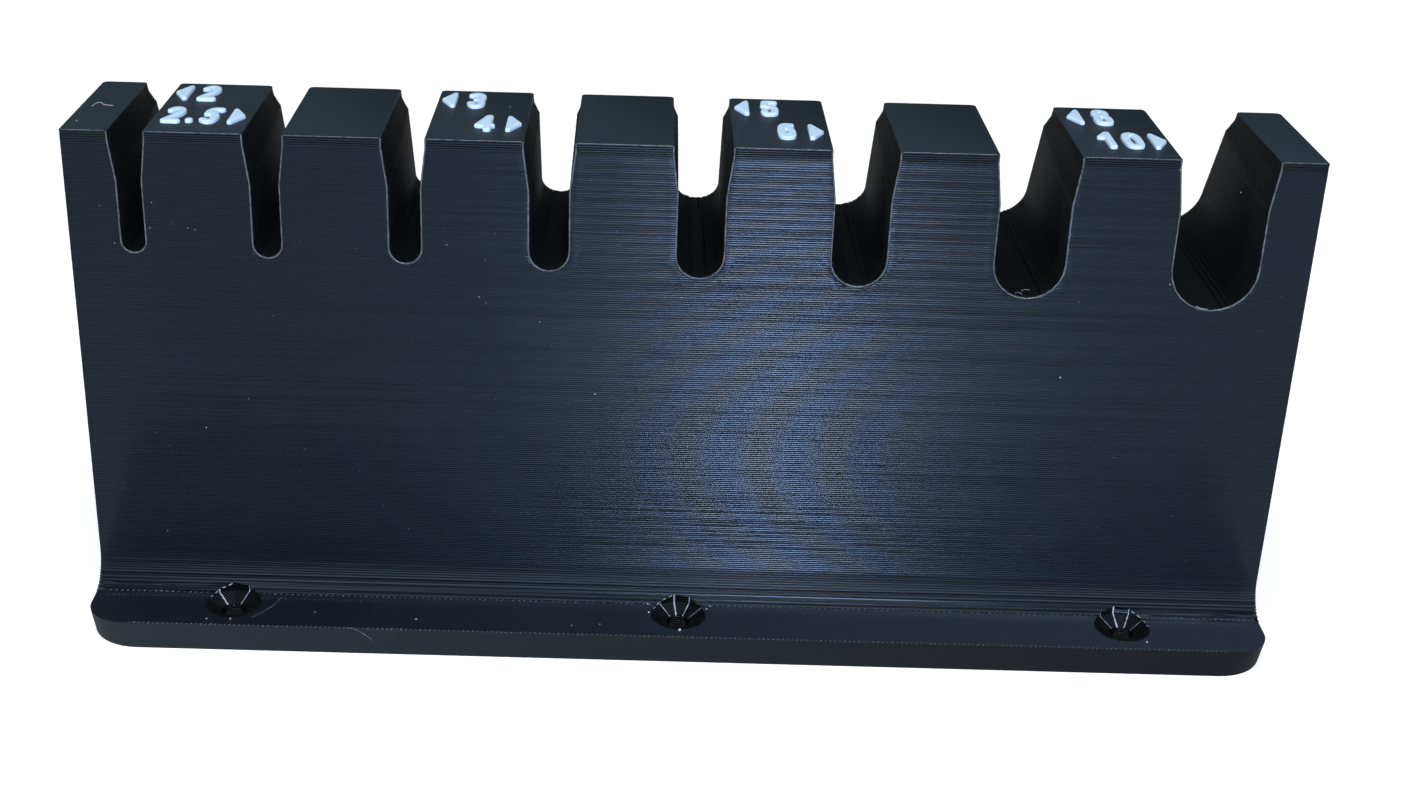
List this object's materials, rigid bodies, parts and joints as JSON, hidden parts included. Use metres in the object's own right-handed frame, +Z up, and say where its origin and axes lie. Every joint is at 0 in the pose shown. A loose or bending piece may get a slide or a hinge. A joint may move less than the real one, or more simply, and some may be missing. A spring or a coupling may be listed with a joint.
{
  "type": "hex key stand",
  "caption": "Wedge-section bench stand with a row of flared round-bottomed slots for hex keys and a screw-down foot along the front, printed in one piece.",
  "frame": {"origin": "on the base, in the middle of the stand's length and depth", "axes": "+X along the row of slots towards the thickest key, +Y from the foot towards the sloping back, +Z up"},
  "size_m": [0.16, 0.075, 0.0687],
  "materials": {
    "printed_plastic": "semi-gloss blue-black printed plastic with fine level layer lines",
    "white_print": "raised white printed size marks"
  },
  "bodies": {
    "root": {"stand": "printed_plastic"}
  },
  "joints": []
}
